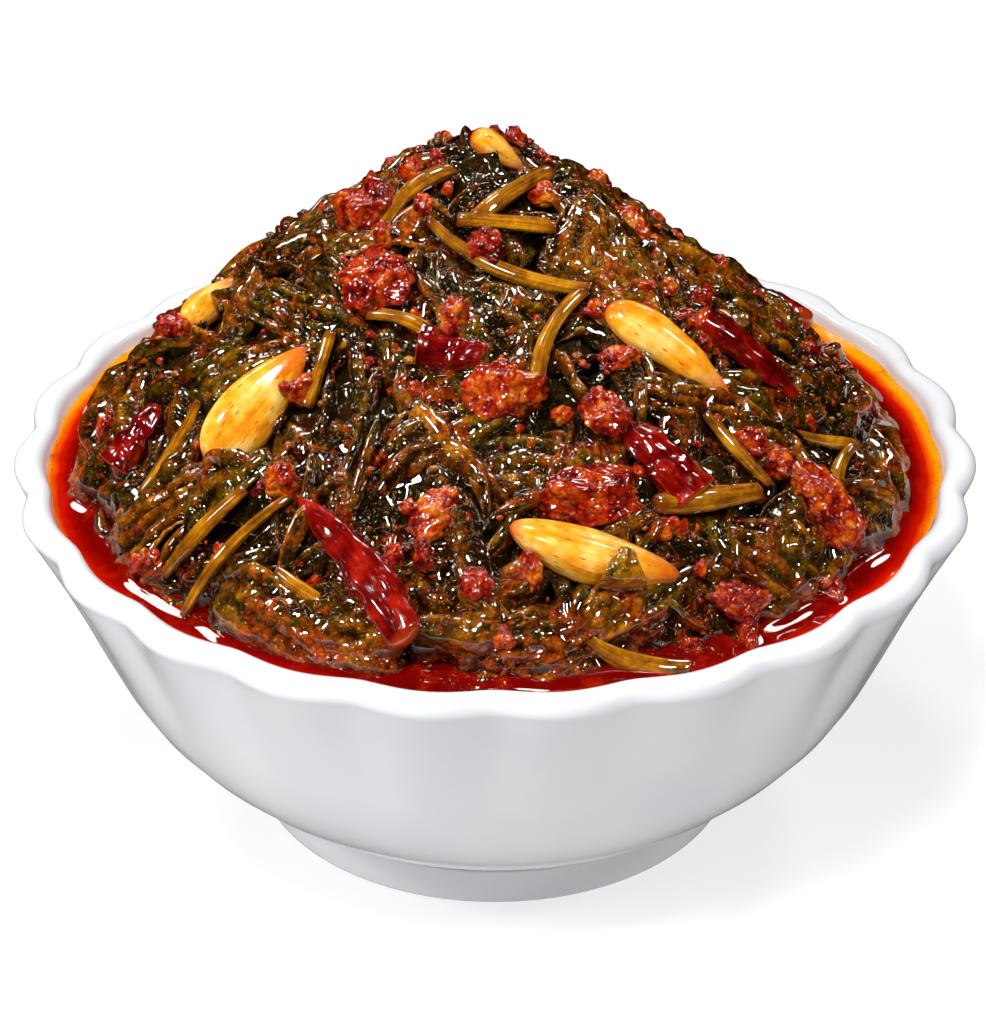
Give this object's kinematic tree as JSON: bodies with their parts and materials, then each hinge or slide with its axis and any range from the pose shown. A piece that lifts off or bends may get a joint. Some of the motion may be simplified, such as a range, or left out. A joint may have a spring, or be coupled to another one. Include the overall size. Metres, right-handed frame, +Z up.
{
  "type": "bowl of gongura pickle",
  "caption": "White scalloped bowl on a foot ring, filled with red chilli oil and a tall heap of cooked sorrel leaves with garlic, dried chillies, stems and lumps of masala.",
  "frame": {"origin": "centre of the foot ring, on the surface that the bowl stands on", "axes": "+Z up along the bowl's axis; the shown front of the heap faces -Y; a rim valley lies at -Y and a rim lobe at +Y"},
  "size_m": [0.152, 0.1516, 0.1133],
  "materials": {
    "opal_glass": "white opal glass, glossy, with a slightly soft surface",
    "chilli_oil": "clear deep red oil, orange where it is thin at the wall",
    "cooked_leaf": "wet dark olive-brown cooked leaf, fine pebbled and oily",
    "garlic": "oily cream to amber clove, stained orange-red",
    "dried_chilli": "glossy wrinkled crimson skin",
    "masala": "wet granular red-orange ground spice",
    "leaf_stem": "glossy golden-olive fibrous stem"
  },
  "bodies": {
    "root": {"bowl": "opal_glass", "oil": "chilli_oil", "pickle": "cooked_leaf", "garlic_1": "garlic", "garlic_2": "garlic", "garlic_3": "garlic", "garlic_4": "garlic", "garlic_5": "garlic", "garlic_6": "garlic", "garlic_7": "garlic", "chilli_1": "dried_chilli", "chilli_2": "dried_chilli", "chilli_3": "dried_chilli", "chilli_4": "dried_chilli", "chilli_5": "dried_chilli", "chilli_6": "dried_chilli", "chilli_7": "dried_chilli", "masala_1": "masala", "masala_2": "masala", "masala_3": "masala", "masala_4": "masala", "masala_5": "masala", "masala_6": "masala", "masala_7": "masala", "masala_8": "masala", "masala_9": "masala", "masala_10": "masala", "masala_11": "masala", "masala_12": "masala", "stem_1": "leaf_stem", "stem_2": "leaf_stem", "stem_3": "leaf_stem", "stem_4": "leaf_stem", "stem_5": "leaf_stem", "stem_6": "leaf_stem", "stem_7": "leaf_stem", "stem_8": "leaf_stem", "stem_9": "leaf_stem", "stem_10": "leaf_stem", "stem_11": "leaf_stem", "stem_12": "leaf_stem", "stem_13": "leaf_stem", "stem_14": "leaf_stem", "stem_15": "leaf_stem", "stem_16": "leaf_stem", "stem_17": "leaf_stem", "stem_18": "leaf_stem"}
  },
  "joints": []
}
